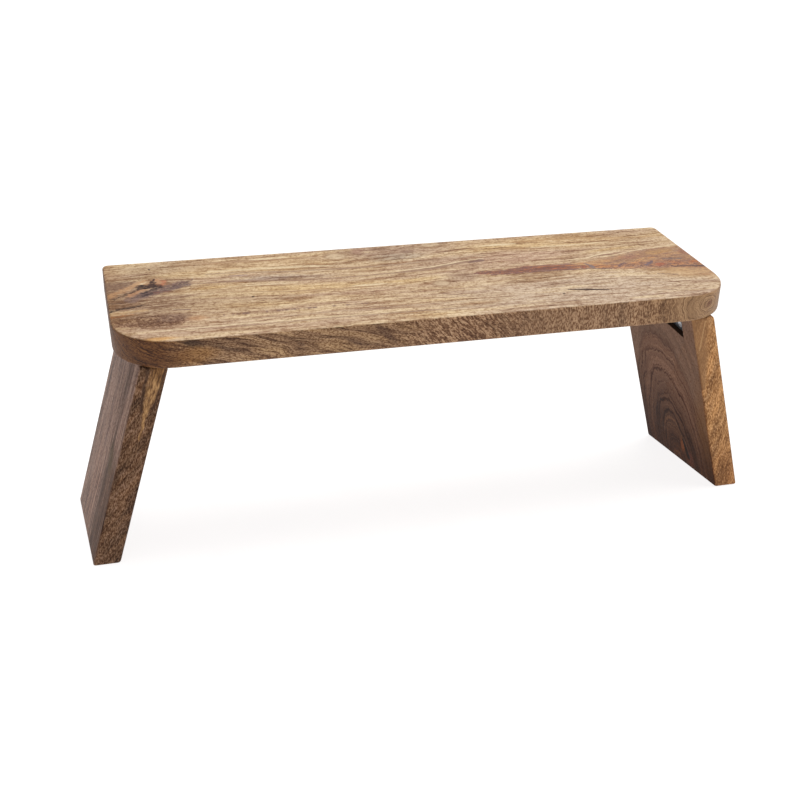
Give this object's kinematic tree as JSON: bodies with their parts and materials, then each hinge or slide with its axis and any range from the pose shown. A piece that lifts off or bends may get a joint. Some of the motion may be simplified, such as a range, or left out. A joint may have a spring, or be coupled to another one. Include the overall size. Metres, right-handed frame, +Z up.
{
  "type": "meditation bench",
  "caption": "Low kneeling bench with a forward-sloping wooden seat board on splayed board legs that fold flat under it on steel butt hinges.",
  "frame": {"origin": "on the floor under the middle of the standing bench's box", "axes": "+X along the seat towards the right leg, +Y from the low rounded front edge to the high rear edge, +Z up"},
  "size_m": [0.532, 0.1746, 0.199],
  "materials": {
    "seat_wood": "oiled, satin",
    "leg_wood": "oiled, satin",
    "hinge_steel": "plated, slightly dull",
    "screw_steel": "plated"
  },
  "bodies": {
    "seat": {"seat_board": "seat_wood", "left_front_hinge_seat_leaf": "hinge_steel", "left_front_hinge_pin": "hinge_steel", "left_front_seat_screw_front": "screw_steel", "left_front_seat_screw_rear": "screw_steel", "left_rear_hinge_seat_leaf": "hinge_steel", "left_rear_hinge_pin": "hinge_steel", "left_rear_seat_screw_front": "screw_steel", "left_rear_seat_screw_rear": "screw_steel", "right_front_hinge_seat_leaf": "hinge_steel", "right_front_hinge_pin": "hinge_steel", "right_front_seat_screw_front": "screw_steel", "right_front_seat_screw_rear": "screw_steel", "right_rear_hinge_seat_leaf": "hinge_steel", "right_rear_hinge_pin": "hinge_steel", "right_rear_seat_screw_front": "screw_steel", "right_rear_seat_screw_rear": "screw_steel"},
    "left_leg": {"left_leg_board": "leg_wood", "left_front_hinge_leg_leaf": "hinge_steel", "left_front_leg_screw_front": "screw_steel", "left_front_leg_screw_rear": "screw_steel", "left_rear_hinge_leg_leaf": "hinge_steel", "left_rear_leg_screw_front": "screw_steel", "left_rear_leg_screw_rear": "screw_steel"},
    "right_leg": {"right_leg_board": "leg_wood", "right_front_hinge_leg_leaf": "hinge_steel", "right_front_leg_screw_front": "screw_steel", "right_front_leg_screw_rear": "screw_steel", "right_rear_hinge_leg_leaf": "hinge_steel", "right_rear_leg_screw_front": "screw_steel", "right_rear_leg_screw_rear": "screw_steel"}
  },
  "joints": [
    {"name": "left_leg_fold", "type": "hinge", "parent": "seat", "child": "left_leg", "pos_m": [-0.19864, -0.01153, 0.1619], "axis": [0, -0.9833, -0.1822], "range_deg": [0, 106]},
    {"name": "right_leg_fold", "type": "hinge", "parent": "seat", "child": "right_leg", "pos_m": [0.19864, -0.01153, 0.1619], "axis": [0, 0.9833, 0.1822], "range_deg": [0, 106]}
  ]
}
